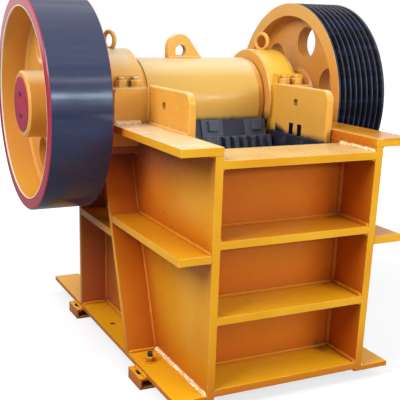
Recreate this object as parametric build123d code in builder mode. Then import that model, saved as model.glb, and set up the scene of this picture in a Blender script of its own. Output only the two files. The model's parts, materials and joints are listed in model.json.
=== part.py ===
"""Single-toggle jaw crusher with a welded plate frame, a grooved drive pulley and a plain flywheel.

Millimetres. +X runs along the shaft towards the grooved pulley, +Y towards the back of the machine,
+Z up. The origin is on the floor, under the middle of the machine. Depths are measured back from the
front edges of the side plates.
"""
import os
from math import atan, cos, pi, radians, sin, tan

from build123d import *

os.makedirs("parts", exist_ok=True)

SIDES = ((-1, "left"), (1, "right"))

# Frame plates
overall_length = 1640.0
frame_width = 750.0
side_plate_t = 34.0
flange_t = 32.0
flange_reach = 138.0
base_flange_t = 21.0
foot_height = 50.0
top_flange_top = 1053.0
mid_flange_top = 651.0
rear_flange_top = 583.0
top_flange_length = 1400.0
side_rear_depth = 1560.0
side_rear_top = 631.0
rib_t = 25.0
rib_foot_depth = 500.0
rib_head_depth = 856.0
rear_rib_depth = 1150.0

# Front wall and its shelves
front_recess = 206.0
front_wall_t = 39.0
shelf_t = 32.0
shelf_pitch = 303.5
bottom_shelf_top = 93.0
shelf_names = ("front_shelf_bottom", "front_shelf_lower", "front_shelf_upper", "front_shelf_top")

# Rear wall and its shelves
rear_recess = 270.0
rear_wall_t = 36.0
rear_shelf_t = 30.0

# Feet and anchor holes
foot_length = 134.0
foot_width = 120.0
foot_overhang = 32.0
foot_wall = 9.0
front_foot_depth = 344.0
rear_foot_depth = 1203.0
foot_slot_length = 46.0
foot_slot_width = 20.0
foot_slot_inset = 11.0
anchor_inset = 80.0
anchor_hole_r = 13.0
anchor_front_depth = 385.0
anchor_mid_depth = 847.0
anchor_rear_depth = 1203.0

# Guard plates over the crushing chamber
guard_t = 34.0
guard_top = 1214.0
guard_front_depth = 300.0
guard_back_depth = 700.0
guard_corner_r = 46.0
guard_edge_r = 8.0
guard_hole_r = 18.0
guard_hole_depth = 541.0
guard_hole_z = 1141.0
guard_notch_width = 34.0
guard_notch_height = 52.0
guard_notch_depths = (500.0, 567.0)

# Crushing chamber
cheek_top = 996.0
cheek_bottom = 131.0
cheek_back_margin = 30.0
jaw_width = 600.0
jaw_bottom = 141.0
fixed_jaw_top = 990.0
fixed_jaw_base_t = 44.0
tooth_height = 26.0
tooth_tip_width = 12.0
tooth_gap_width = 12.0
tooth_count = 13
discharge_gap = 70.0
moving_jaw_top = 955.0
moving_jaw_base_t = 57.0
jaw_lean = 20.2
tooth_end_chamfer = 14.0
lifting_pad_x = -38.0
lifting_pad_width = 84.0
lifting_pad_length = 75.0
lifting_pad_drop = 4.0

# Shaft, bearings and wheels
axis_depth = 1024.0
axis_height = 1112.0
shaft_r = 70.0
running_clearance = 0.05
bearing_seat_z = 951.0
bearing_inner_x = 322.0
bearing_outer_x = 505.0
bearing_half_length = 299.0
cap_lug_top = 1203.0
cap_r = 245.0
cap_edge_r = 50.0
cap_chamfer = 5.0
cap_block_x = (358.0, 497.0)
cap_block_top = 1251.0
cap_block_depth = 780.0
cap_eye_r = 38.0
cap_eye_wire_r = 10.0
cap_eye_sides = 12
cap_eye_rise = 34.0
cap_eye_turn = 18.0
cap_eye_x = 405.0
pedestal_plate_t = 25.0
pedestal_top = 1203.0
pedestal_reach = 500.0
pedestal_corner_r = 28.0
wheel_inner_x = 555.0
wheel_outer_x = 821.0
flywheel_r = 473.0
flywheel_rim_t = 56.0
pulley_r = 467.0
pulley_rim_t = 60.0
web_x = 660.0
web_t = 60.0
web_hole_count = 6
web_hole_r = 77.0
web_hole_circle_r = 285.0
flywheel_hole_turn = -61.0
pulley_hole_turn = 42.0
hub_r = 147.0
hub_inner_x = 600.0
hub_cap_r = 121.0
hub_cap_t = 10.0
hub_chamfer = 8.0
rim_chamfer = 5.0
web_chamfer = 12.0
groove_count = 8
groove_pitch = 31.0
groove_top = 25.0
groove_bottom = 12.0
groove_depth = 24.0

# Swing jaw
barrel_r = 204.0
barrel_half_width = 288.0
ring_r = 180.0
ring_outer_x = 304.0
swing_half_width = 286.0
swing_slab_t = 85.0
swing_rib_t = 36.0
swing_rib_x = (88.0, 268.0)
swing_rib_inset = 20.0
swing_rib_angle = 27.0
swing_foot_rise = 10.0
swing_top_drop = 78.0
wedge_t = 30.0
wedge_gap = 2.0
clamp_width = 110.0
clamp_t = 12.0
wedge_block = 48.0
wedge_block_t = 16.0
wedge_block_drop = 9.0
clamp_pitch = 228.0
clamp_count = 3
barrel_eye_t = 36.0
barrel_eye_r = 64.0
barrel_eye_x = -54.0
barrel_eye_rise = 43.0
barrel_eye_foot = (-118.0, 63.0)
barrel_eye_hole_r = 27.0
barrel_eye_hole_x = -50.0
barrel_eye_hole_rise = 31.0
barrel_eye_sink = 4.0

# Toggle gear behind the swing jaw
toggle_seat_depth = 752.0
toggle_seat_z = 291.0
toggle_seat_height = 90.0
toggle_gap = 18.0
toggle_t = 40.0
toggle_half_width = 250.0
toggle_seat_margin = 20.0
toggle_rise = 40.0
toggle_block_t = 110.0
toggle_block_height = 200.0
toggle_block_lift = 20.0
rod_r = 20.0
rod_z = 181.0
rod_front_depth = 700.0
rod_tail = 26.0
rod_hole_clearance = 6.0
spring_r = 52.0
spring_wire_r = 9.0
spring_wire_sides = 8
spring_turns = 5
spring_turn_steps = 20
spring_length = 130.0
washer_r = 68.0
washer_t = 14.0
nut_r = 32.0
nut_t = 34.0

# Derived places
x_outer = frame_width / 2
x_inner = x_outer - side_plate_t
x_flange = x_outer + flange_reach
guard_inner = x_inner - guard_t
front_y = -overall_length / 2
base_bottom = foot_height
base_top = base_bottom + base_flange_t
side_top = top_flange_top - flange_t
front_wall_back = front_recess + front_wall_t
rear_wall_depth = side_rear_depth - rear_recess
rear_wall_back = rear_wall_depth + rear_wall_t
top_shelf_top = bottom_shelf_top + shelf_pitch * (len(shelf_names) - 1)
axis_y = front_y + axis_depth
fixed_jaw_tip = front_wall_back + fixed_jaw_base_t + tooth_height
rib_slope = (rib_head_depth - rib_foot_depth) / (side_top - base_top)
bearing_front = axis_depth - bearing_half_length
bearing_back = axis_depth + bearing_half_length
rib_top = bearing_seat_z - flange_t
shaft_axis = Axis((0, axis_y, axis_height), (1, 0, 0))
shaft_plane = Plane((0, axis_y, axis_height), x_dir=(1, 0, 0), z_dir=(0, -1, 0))
bore_r = shaft_r + running_clearance


def y_at(depth):
    """Row Y of a depth behind the front edges of the side plates."""
    return front_y + depth


def rib_front(z):
    """Depth of the inclined rib's front face at a height."""
    return rib_foot_depth + rib_slope * (z - base_top)


def rib_back(z):
    """Depth of the inclined rib's back face at a height."""
    return rib_front(z) + rib_t / cos(atan(rib_slope))


def jaw_tip(z):
    """Depth of the swing jaw's tooth tips at a height."""
    return fixed_jaw_tip + discharge_gap + (z - jaw_bottom) * tan(radians(jaw_lean))


def swing_face(z, ahead=0.0):
    """Depth of the swing jaw's mounting face at a height, or of a plane that far ahead of it."""
    return jaw_tip(z) + (moving_jaw_base_t + tooth_height - ahead) / cos(radians(jaw_lean))


def save(builder, name):
    builder.part.label = name
    export_step(builder.part, f"parts/{name}.step")


def span(side, near, far):
    """Low and high X of a stretch from near to far on one side of the machine."""
    return min(side * near, side * far), max(side * near, side * far)


def profile_plates(x_range, *outlines):
    """Plates with side-view outlines of (depth, height) corners, between two X values."""
    with BuildPart() as plates:
        for corners in outlines:
            with BuildSketch(Plane.YZ.offset(x_range[0])):
                with BuildLine():
                    Polyline(*[(y_at(depth), z) for depth, z in corners], close=True)
                make_face()
            extrude(amount=x_range[1] - x_range[0])
    return plates


def rectangle(depth_range, z_range):
    """Corners of a rectangular side-view outline."""
    return [
        (depth_range[0], z_range[0]),
        (depth_range[1], z_range[0]),
        (depth_range[1], z_range[1]),
        (depth_range[0], z_range[1]),
    ]


def slab(x_range, depth_range, z_range):
    """A rectangular plate between X, depth and height limits."""
    return profile_plates(x_range, rectangle(depth_range, z_range))


# Side plates and the flanges welded to them
for side, name in SIDES:
    plate = profile_plates(
        span(side, x_inner, x_outer),
        [
            (0, base_bottom),
            (0, side_top),
            (bearing_front, side_top),
            (bearing_front, bearing_seat_z),
            (bearing_back, bearing_seat_z),
            (bearing_back, side_top),
            (top_flange_length, side_top),
            (side_rear_depth, side_rear_top),
            (side_rear_depth, base_bottom),
        ],
    )
    save(plate, f"side_plate_{name}")

    flange = profile_plates(
        span(side, x_inner, x_flange),
        rectangle((0, bearing_front), (side_top, top_flange_top)),
        rectangle((bearing_back, top_flange_length), (side_top, top_flange_top)),
    )
    save(flange, f"top_flange_{name}")

    seat = slab(span(side, x_outer, x_flange), (bearing_front, bearing_back), (rib_top, bearing_seat_z))
    save(seat, f"bearing_seat_{name}")

    mid_low = mid_flange_top - flange_t
    rear_low = rear_flange_top - flange_t
    flange = profile_plates(
        span(side, x_outer, x_flange),
        [
            (0, mid_low),
            (rib_front(mid_low), mid_low),
            (rib_front(mid_flange_top), mid_flange_top),
            (0, mid_flange_top),
        ],
        [
            (rib_back(rear_low), rear_low),
            (rear_rib_depth, rear_low),
            (rear_rib_depth, rear_flange_top),
            (rib_back(rear_flange_top), rear_flange_top),
        ],
    )
    save(flange, f"mid_flange_{name}")

    with BuildPart() as base:
        with BuildSketch(Plane.XY.offset(base_bottom)):
            with Locations((side * (x_outer + x_flange) / 2, 0)):
                Rectangle(flange_reach, overall_length)
            holes = (anchor_front_depth, anchor_mid_depth, anchor_rear_depth)
            with Locations(*[(side * (x_outer + anchor_inset), y_at(d)) for d in holes]):
                Circle(anchor_hole_r, mode=Mode.SUBTRACT)
        extrude(amount=base_flange_t)
    save(base, f"base_flange_{name}")

    rib = profile_plates(
        span(side, x_outer, x_flange),
        [
            (rib_front(base_top), base_top),
            (rib_back(base_top), base_top),
            (rib_back(rib_top), rib_top),
            (rib_front(rib_top), rib_top),
        ],
    )
    save(rib, f"inclined_rib_{name}")

    rib = slab(span(side, x_outer, x_flange), (rear_rib_depth, rear_rib_depth + rib_t), (base_top, rib_top))
    save(rib, f"rear_rib_{name}")

# Front wall, set back between the side plates, and its four shelves
front_wall = slab(
    (-x_inner, x_inner), (front_recess, front_wall_back), (base_bottom, top_shelf_top - shelf_t)
)
save(front_wall, "front_wall")

for index, name in enumerate(shelf_names):
    shelf_top = bottom_shelf_top + index * shelf_pitch
    shelf_back = front_wall_back if name == shelf_names[-1] else front_recess
    shelf = slab((-x_inner, x_inner), (0, shelf_back), (shelf_top - shelf_t, shelf_top))
    save(shelf, name)

# Rear wall with a hole for the tension rod, and the shelves that stiffen it
with BuildPart() as rear_wall:
    with BuildSketch(Plane.XZ.offset(-y_at(rear_wall_depth))):
        with Locations((0, (base_bottom + side_rear_top - rear_shelf_t) / 2)):
            Rectangle(2 * x_inner, side_rear_top - rear_shelf_t - base_bottom)
        with Locations((0, rod_z)):
            Circle(rod_r + rod_hole_clearance, mode=Mode.SUBTRACT)
    extrude(amount=-rear_wall_t)
save(rear_wall, "rear_wall")

rear_mid_top = (rod_z + side_rear_top) / 2
rear_shelves = profile_plates(
    (-x_inner, x_inner),
    rectangle((rear_wall_depth, side_rear_depth), (side_rear_top - rear_shelf_t, side_rear_top)),
    rectangle((rear_wall_back, side_rear_depth), (rear_mid_top - rear_shelf_t, rear_mid_top)),
    rectangle((rear_wall_back, side_rear_depth), (base_bottom, base_bottom + rear_shelf_t)),
)
save(rear_shelves, "rear_shelves")

# Guard plates that carry the side walls on above the chamber
for side, name in SIDES:
    with BuildPart() as guard:
        with BuildSketch(Plane.YZ.offset(span(side, guard_inner, x_inner)[0])):
            with Locations((y_at((guard_front_depth + guard_back_depth) / 2), (cheek_top + guard_top) / 2)):
                Rectangle(guard_back_depth - guard_front_depth, guard_top - cheek_top)
            front_corner = vertices().group_by(Axis.Y)[-1].sort_by(Axis.X)[0]
            fillet(front_corner, guard_corner_r)
            with Locations((y_at(guard_hole_depth), guard_hole_z)):
                Circle(guard_hole_r, mode=Mode.SUBTRACT)
            with Locations(*[(y_at(d), cheek_top + guard_notch_height / 2) for d in guard_notch_depths]):
                Rectangle(guard_notch_width, guard_notch_height, mode=Mode.SUBTRACT)
        extrude(amount=guard_t)
        front_edges = edges().filter_by(Axis.Z).group_by(Axis.Y)[0]
        fillet(front_edges, guard_edge_r)
    save(guard, f"guard_plate_{name}")

# Cheek plates that line the sides of the chamber
for side, name in SIDES:
    cheek = profile_plates(
        span(side, guard_inner, x_inner),
        [
            (front_wall_back, cheek_bottom),
            (front_wall_back, cheek_top),
            (swing_face(cheek_top) - cheek_back_margin, cheek_top),
            (swing_face(cheek_bottom) - cheek_back_margin, cheek_bottom),
        ],
    )
    save(cheek, f"cheek_plate_{name}")


def tooth_outline(base_t):
    """Plan of a jaw plate: flat back on X, trapezoid teeth ahead of it."""
    pitch = jaw_width / tooth_count
    points = [(-jaw_width / 2, 0.0)]
    for i in range(tooth_count):
        middle = (i + 0.5) * pitch - jaw_width / 2
        half_foot = (pitch - tooth_gap_width) / 2
        points += [
            (middle - pitch / 2, base_t),
            (middle - half_foot, base_t),
            (middle - tooth_tip_width / 2, base_t + tooth_height),
            (middle + tooth_tip_width / 2, base_t + tooth_height),
            (middle + half_foot, base_t),
        ]
    points += [(jaw_width / 2, base_t), (jaw_width / 2, 0.0)]
    return points


# Fixed jaw plate against the front wall, with sloped ends on its teeth
with BuildPart() as fixed_jaw:
    with BuildSketch(Plane.XY.offset(jaw_bottom)):
        with BuildLine():
            outline = tooth_outline(fixed_jaw_base_t)
            Polyline(*[(x, y_at(front_wall_back + y)) for x, y in outline], close=True)
        make_face()
    extrude(amount=fixed_jaw_top - jaw_bottom)
    tip_ends = edges().filter_by(Axis.X).group_by(Axis.Y)[-1]
    chamfer(tip_ends, tooth_end_chamfer)
save(fixed_jaw, "fixed_jaw")

# Bearing pedestals, housings and caps
for side, name in SIDES:
    with BuildPart() as pedestal:
        for depth in (guard_back_depth, 2 * axis_depth - guard_back_depth - pedestal_plate_t):
            with BuildSketch(Plane.XZ.offset(-y_at(depth))):
                with Locations((side * (x_inner + pedestal_reach) / 2, (top_flange_top + pedestal_top) / 2)):
                    Rectangle(pedestal_reach - x_inner, pedestal_top - top_flange_top)
                outer_corner = vertices().group_by(Axis.Y)[-1].sort_by(Axis.X)[::side][-1]
                fillet(outer_corner, pedestal_corner_r)
            extrude(amount=-pedestal_plate_t)
    save(pedestal, f"pedestal_plates_{name}")

    round_low, round_high = span(side, bearing_inner_x, bearing_outer_x)
    lug_low, lug_high = span(side, x_inner, bearing_outer_x)
    with BuildPart() as housing:
        with BuildSketch(Plane.YZ.offset(round_low)):
            with Locations((axis_y, axis_height)):
                Circle(cap_r)
            with Locations((axis_y, (bearing_seat_z + axis_height) / 2)):
                Rectangle(2 * bearing_half_length, axis_height - bearing_seat_z, mode=Mode.INTERSECT)
        extrude(amount=round_high - round_low)
        with BuildSketch(Plane.YZ.offset(lug_low)):
            with Locations((axis_y, (bearing_seat_z + axis_height) / 2)):
                Rectangle(2 * bearing_half_length, axis_height - bearing_seat_z)
        extrude(amount=lug_high - lug_low)
        with BuildSketch(Plane.YZ.offset(round_low)):
            with Locations((axis_y, axis_height)):
                Circle(bore_r)
        extrude(amount=round_high - round_low, mode=Mode.SUBTRACT)
    save(housing, f"bearing_housing_{name}")

    block_low, block_high = span(side, *cap_block_x)
    with BuildPart() as cap:
        with BuildSketch(Plane.YZ.offset(round_low)):
            with Locations((axis_y, axis_height)):
                Circle(cap_r)
            with Locations((axis_y, axis_height - cap_r)):
                Rectangle(2 * cap_r, 2 * cap_r, mode=Mode.SUBTRACT)
        extrude(amount=round_high - round_low)
        inner_rim, outer_rim = edges().filter_by(GeomType.CIRCLE).sort_by(Axis.X)[::side]
        chamfer(inner_rim, cap_chamfer)
        fillet(outer_rim, cap_edge_r)
        with BuildSketch(Plane.YZ.offset(lug_low)):
            with Locations((axis_y, (axis_height + cap_lug_top) / 2)):
                Rectangle(2 * bearing_half_length, cap_lug_top - axis_height)
        extrude(amount=lug_high - lug_low)
        with BuildSketch(Plane.YZ.offset(block_low)):
            with Locations((axis_y, (axis_height + cap_block_top) / 2)):
                Rectangle(2 * (axis_depth - cap_block_depth), cap_block_top - axis_height)
        extrude(amount=block_high - block_low)
        with BuildSketch(Plane.YZ.offset(round_low)):
            with Locations((axis_y, axis_height)):
                Circle(bore_r)
        extrude(amount=round_high - round_low, mode=Mode.SUBTRACT)
    save(cap, f"bearing_cap_{name}")

# Lifting rings welded across the tops of the bearing caps
with BuildPart() as cap_eyes:
    turn = radians(cap_eye_turn)
    for side, name in SIDES:
        ring_centre = (side * cap_eye_x, axis_y, axis_height + cap_r + cap_eye_rise)
        with BuildSketch(Plane(ring_centre, x_dir=(0, 0, 1), z_dir=(-sin(turn), cos(turn), 0))):
            with Locations((cap_eye_r, 0)):
                RegularPolygon(cap_eye_wire_r, cap_eye_sides)
        revolve(axis=Axis(ring_centre, (cos(turn), sin(turn), 0)))
    with BuildSketch(Plane.YZ.offset(-bearing_outer_x)):
        with Locations((axis_y, axis_height)):
            Circle(cap_r)
    extrude(amount=2 * bearing_outer_x, mode=Mode.SUBTRACT)
save(cap_eyes, "bearing_eyes")

# Shaft
with BuildPart() as shaft:
    with BuildSketch(Plane.YZ.offset(-wheel_outer_x)):
        with Locations((axis_y, axis_height)):
            Circle(shaft_r)
    extrude(amount=2 * wheel_outer_x)
save(shaft, "main_shaft")


def wheel_section(outer_profile, rim_inner_r):
    """Half section of a wheel in (distance from the middle, radius), hub to rim."""
    web_in = web_x - web_t / 2
    web_out = web_x + web_t / 2
    return [
        (hub_inner_x, bore_r),
        (hub_inner_x, hub_r),
        (web_in, hub_r),
        (web_in, rim_inner_r),
        (wheel_inner_x, rim_inner_r),
        *outer_profile,
        (wheel_outer_x, rim_inner_r),
        (web_out, rim_inner_r),
        (web_out, hub_r),
        (wheel_outer_x - hub_chamfer, hub_r),
        (wheel_outer_x, hub_r - hub_chamfer),
        (wheel_outer_x, bore_r),
    ]


def grooved_rim():
    """Outer edge of the pulley rim with its V-grooves, from the inner face to the outer face."""
    middle = (wheel_inner_x + wheel_outer_x) / 2
    points = [(wheel_inner_x, pulley_r)]
    for i in range(groove_count):
        centre = middle + (i - (groove_count - 1) / 2) * groove_pitch
        points += [
            (centre - groove_top / 2, pulley_r),
            (centre - groove_bottom / 2, pulley_r - groove_depth),
            (centre + groove_bottom / 2, pulley_r - groove_depth),
            (centre + groove_top / 2, pulley_r),
        ]
    points.append((wheel_outer_x, pulley_r))
    return points


plain_rim = [
    (wheel_inner_x, flywheel_r - rim_chamfer),
    (wheel_inner_x + rim_chamfer, flywheel_r),
    (wheel_outer_x - rim_chamfer, flywheel_r),
    (wheel_outer_x, flywheel_r - rim_chamfer),
]
wheels = (
    (-1, "flywheel", plain_rim, flywheel_r - flywheel_rim_t, flywheel_hole_turn),
    (1, "pulley", grooved_rim(), pulley_r - pulley_rim_t, pulley_hole_turn),
)
for side, name, outer_profile, rim_inner_r, hole_turn in wheels:
    section = wheel_section(outer_profile, rim_inner_r)
    with BuildPart() as wheel:
        with BuildSketch(shaft_plane):
            with BuildLine():
                Polyline(*[(side * x, r) for x, r in section], close=True)
            make_face()
            at_web = vertices().filter_by(lambda corner: abs(abs(corner.X) - web_x) < web_t)
            chamfer(at_web.filter_by(lambda corner: corner.Y <= rim_inner_r + running_clearance), web_chamfer)
        revolve(axis=shaft_axis)
        with BuildSketch(Plane.YZ.offset(side * web_x - web_t)):
            with Locations((axis_y, axis_height)):
                with PolarLocations(web_hole_circle_r, web_hole_count, start_angle=hole_turn):
                    Circle(web_hole_r)
        extrude(amount=2 * web_t, mode=Mode.SUBTRACT)
    save(wheel, name)

# Hub end caps
with BuildPart() as hub_caps:
    for side, name in SIDES:
        with BuildSketch(Plane.YZ.offset(span(side, wheel_outer_x, wheel_outer_x + hub_cap_t)[0])):
            with Locations((axis_y, axis_height)):
                Circle(hub_cap_r)
        extrude(amount=hub_cap_t)
save(hub_caps, "hub_caps")

# Swing jaw: barrel round the shaft, sloping slab, ribs behind it and the toggle seat at its foot
swing_top = axis_height - swing_top_drop
rib_corner_r = barrel_r - swing_rib_inset
rib_corner_angle = radians(swing_rib_angle)
seat_low = (toggle_seat_depth, toggle_seat_z - toggle_seat_height / 2)
seat_high = (toggle_seat_depth, toggle_seat_z + toggle_seat_height / 2)
seat_top = toggle_seat_z + toggle_seat_height
slab_foot = (swing_face(jaw_bottom, -swing_slab_t / 2), jaw_bottom + swing_foot_rise)
slab_corners = [
    (swing_face(jaw_bottom), jaw_bottom),
    (swing_face(swing_top), swing_top),
    (swing_face(swing_top, -swing_slab_t), swing_top),
    (swing_face(jaw_bottom, -swing_slab_t), jaw_bottom),
]
rib_corners = [
    slab_foot,
    (swing_face(swing_top, -swing_slab_t / 2), swing_top),
    (axis_depth + rib_corner_r * cos(rib_corner_angle), axis_height - rib_corner_r * sin(rib_corner_angle)),
    seat_high,
    seat_low,
]
seat_corners = [
    slab_foot,
    (swing_face(seat_top, -swing_slab_t / 2), seat_top),
    seat_high,
    seat_low,
]
seat_half = toggle_half_width + toggle_seat_margin
swing_pieces = [
    ((-swing_half_width, swing_half_width), slab_corners),
    ((-seat_half, seat_half), seat_corners),
]
for side, name in SIDES:
    for rib_x in swing_rib_x:
        swing_pieces.append((span(side, rib_x - swing_rib_t / 2, rib_x + swing_rib_t / 2), rib_corners))

with BuildPart() as swing_jaw:
    for x_range, corners in swing_pieces:
        with BuildSketch(Plane.YZ.offset(x_range[0])):
            with BuildLine():
                Polyline(*[(y_at(depth), z) for depth, z in corners], close=True)
            make_face()
        extrude(amount=x_range[1] - x_range[0])
    with BuildSketch(Plane.YZ.offset(-barrel_half_width)):
        with Locations((axis_y, axis_height)):
            Circle(barrel_r)
    extrude(amount=2 * barrel_half_width)
    with BuildSketch(Plane.YZ.offset(-barrel_half_width)):
        with Locations((axis_y, axis_height)):
            Circle(bore_r)
    extrude(amount=2 * barrel_half_width, mode=Mode.SUBTRACT)
save(swing_jaw, "swing_jaw_body")

with BuildPart() as rings:
    for side, name in SIDES:
        with BuildSketch(Plane.YZ.offset(span(side, barrel_half_width, ring_outer_x)[0])):
            with Locations((axis_y, axis_height)):
                Circle(ring_r)
                Circle(bore_r, mode=Mode.SUBTRACT)
        extrude(amount=ring_outer_x - barrel_half_width)
save(rings, "barrel_rings")

# Lifting eye on the barrel
eye_z = axis_height + barrel_r + barrel_eye_rise
eye_foot_z = axis_height + barrel_r - barrel_eye_sink
with BuildPart() as barrel_eye:
    with BuildSketch(Plane.XZ.offset(-axis_y - barrel_eye_t / 2)):
        with BuildLine():
            CenterArc((barrel_eye_x, eye_z), barrel_eye_r, 0, 360)
            Line((barrel_eye_foot[0], eye_foot_z), (barrel_eye_foot[1], eye_foot_z))
        make_hull()
        with Locations((barrel_eye_hole_x, axis_height + barrel_r + barrel_eye_hole_rise)):
            Circle(barrel_eye_hole_r, mode=Mode.SUBTRACT)
    extrude(amount=barrel_eye_t)
    with BuildSketch(Plane.YZ.offset(-barrel_half_width)):
        with Locations((axis_y, axis_height)):
            Circle(barrel_r)
    extrude(amount=2 * barrel_half_width, mode=Mode.SUBTRACT)
save(barrel_eye, "barrel_eye")

# Moving jaw plate on the swing jaw's sloping face
face_plane = Plane(
    (0, y_at(swing_face(jaw_bottom)), jaw_bottom),
    x_dir=(1, 0, 0),
    z_dir=(0, sin(radians(jaw_lean)), cos(radians(jaw_lean))),
)
moving_jaw_length = (moving_jaw_top - jaw_bottom) / cos(radians(jaw_lean))
with BuildPart() as moving_jaw:
    with BuildSketch(face_plane):
        with BuildLine():
            Polyline(*[(x, -y) for x, y in tooth_outline(moving_jaw_base_t)], close=True)
        make_face()
    extrude(amount=moving_jaw_length)
    tip_distance = moving_jaw_base_t + tooth_height
    tip_ends = edges().filter_by(Axis.X).filter_by(
        lambda edge: abs(face_plane.to_local_coords(edge.center()).Y + tip_distance) < running_clearance
    )
    chamfer(tip_ends, tooth_end_chamfer)
    with BuildSketch(face_plane.offset(moving_jaw_length - lifting_pad_length)):
        with Locations((lifting_pad_x, -(tip_distance - lifting_pad_drop) / 2)):
            Rectangle(lifting_pad_width, tip_distance - lifting_pad_drop)
    extrude(amount=lifting_pad_length)
save(moving_jaw, "moving_jaw")

# Wedge bar over the moving jaw plate, with raised clamp plates and a square boss on each
wedge_start = moving_jaw_length + wedge_gap
wedge_length = (swing_top - moving_jaw_top) / cos(radians(jaw_lean)) - wedge_gap
boss_start = wedge_start + wedge_length - wedge_block - wedge_block_drop
with BuildPart() as wedge:
    with BuildSketch(face_plane.offset(wedge_start)):
        with Locations((0, -wedge_t / 2)):
            Rectangle(2 * swing_half_width, wedge_t)
        with Locations((0, -wedge_t - clamp_t / 2)):
            with GridLocations(clamp_pitch, 0, clamp_count, 1):
                Rectangle(clamp_width, clamp_t)
    extrude(amount=wedge_length)
    with BuildSketch(face_plane.offset(boss_start)):
        with Locations((0, -wedge_t - clamp_t - wedge_block_t / 2)):
            with GridLocations(clamp_pitch, 0, clamp_count, 1):
                Rectangle(wedge_block, wedge_block_t)
    extrude(amount=wedge_block)
save(wedge, "jaw_wedge")

# Toggle plate and the block that seats it on the rear wall
block_depth = rear_wall_depth - toggle_block_t
toggle_front = toggle_seat_depth + toggle_gap
toggle_half = toggle_t / 2
toggle = profile_plates(
    (-toggle_half_width, toggle_half_width),
    [
        (toggle_front, toggle_seat_z - toggle_half),
        (block_depth, toggle_seat_z + toggle_rise - toggle_half),
        (block_depth, toggle_seat_z + toggle_rise + toggle_half),
        (toggle_front, toggle_seat_z + toggle_half),
    ],
)
save(toggle, "toggle_plate")

block_mid = toggle_seat_z + toggle_rise + toggle_block_lift
block = slab(
    (-x_inner, x_inner),
    (block_depth, rear_wall_depth),
    (block_mid - toggle_block_height / 2, block_mid + toggle_block_height / 2),
)
save(block, "toggle_block")

# Tension rod through the rear wall, with its washer and nut, and the spring between them
rod_plane = Plane((0, y_at(rod_front_depth), rod_z), x_dir=(1, 0, 0), z_dir=(0, 1, 0))
spring_start = rear_wall_back - rod_front_depth
spring_end = spring_start + spring_length
rod_length = spring_end + washer_t + nut_t + rod_tail
with BuildPart() as rod:
    with BuildSketch(rod_plane):
        Circle(rod_r)
    extrude(amount=rod_length)
    with BuildSketch(rod_plane.offset(spring_end)):
        Circle(washer_r)
    extrude(amount=washer_t)
    with BuildSketch(rod_plane.offset(spring_end + washer_t)):
        RegularPolygon(nut_r, 6)
    extrude(amount=nut_t)
save(rod, "tension_rod")

spring_plane = rod_plane.offset(spring_start + spring_wire_r)
spring_steps = spring_turns * spring_turn_steps
spring_rise = (spring_length - 2 * spring_wire_r) / spring_steps
coil_points = []
for step in range(spring_steps + 1):
    turned = 2 * pi * step / spring_turn_steps
    coil_points.append((spring_r * cos(turned), spring_r * sin(turned), spring_rise * step))
with BuildPart() as spring:
    with BuildLine():
        coil = Polyline(*[spring_plane.from_local_coords(point) for point in coil_points])
    with BuildSketch(Plane(coil @ 0, z_dir=coil % 0)):
        RegularPolygon(spring_wire_r, spring_wire_sides)
    sweep(transition=Transition.RIGHT)
save(spring, "tension_spring")

# Feet: short hollow sections under the base flanges, closed at the back, with a slot beside the flange
with BuildPart() as feet:
    for side, name in SIDES:
        for depth, anchor in ((front_foot_depth, anchor_front_depth), (rear_foot_depth, anchor_rear_depth)):
            foot_x = side * (x_flange + foot_overhang - foot_width / 2)
            with BuildSketch(Plane.XZ.offset(-y_at(depth) - foot_length / 2)):
                with Locations((foot_x, foot_height / 2)):
                    Rectangle(foot_width, foot_height)
                    Rectangle(foot_width - 2 * foot_wall, foot_height - 2 * foot_wall, mode=Mode.SUBTRACT)
            extrude(amount=foot_length)
            with BuildSketch(Plane.XZ.offset(-y_at(depth) - foot_length / 2)):
                with Locations((foot_x, foot_height / 2)):
                    Rectangle(foot_width, foot_height)
            extrude(amount=foot_wall)
            slot_x = side * (x_flange + foot_slot_inset)
            with BuildSketch(Plane((slot_x, y_at(depth), foot_height), x_dir=(0, 1, 0), z_dir=(0, 0, 1))):
                SlotOverall(foot_slot_length, foot_slot_width)
            extrude(amount=-2 * foot_wall, mode=Mode.SUBTRACT)
            with BuildSketch(Plane.XY):
                with Locations((side * (x_outer + anchor_inset), y_at(anchor))):
                    Circle(anchor_hole_r)
            extrude(amount=foot_height, mode=Mode.SUBTRACT)
save(feet, "feet")
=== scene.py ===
"""Looks of the jaw crusher: paint, welds, fasteners, floor, light and camera."""

import json
import math

import bmesh
import bpy
from mathutils import Matrix, Vector, noise


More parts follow.
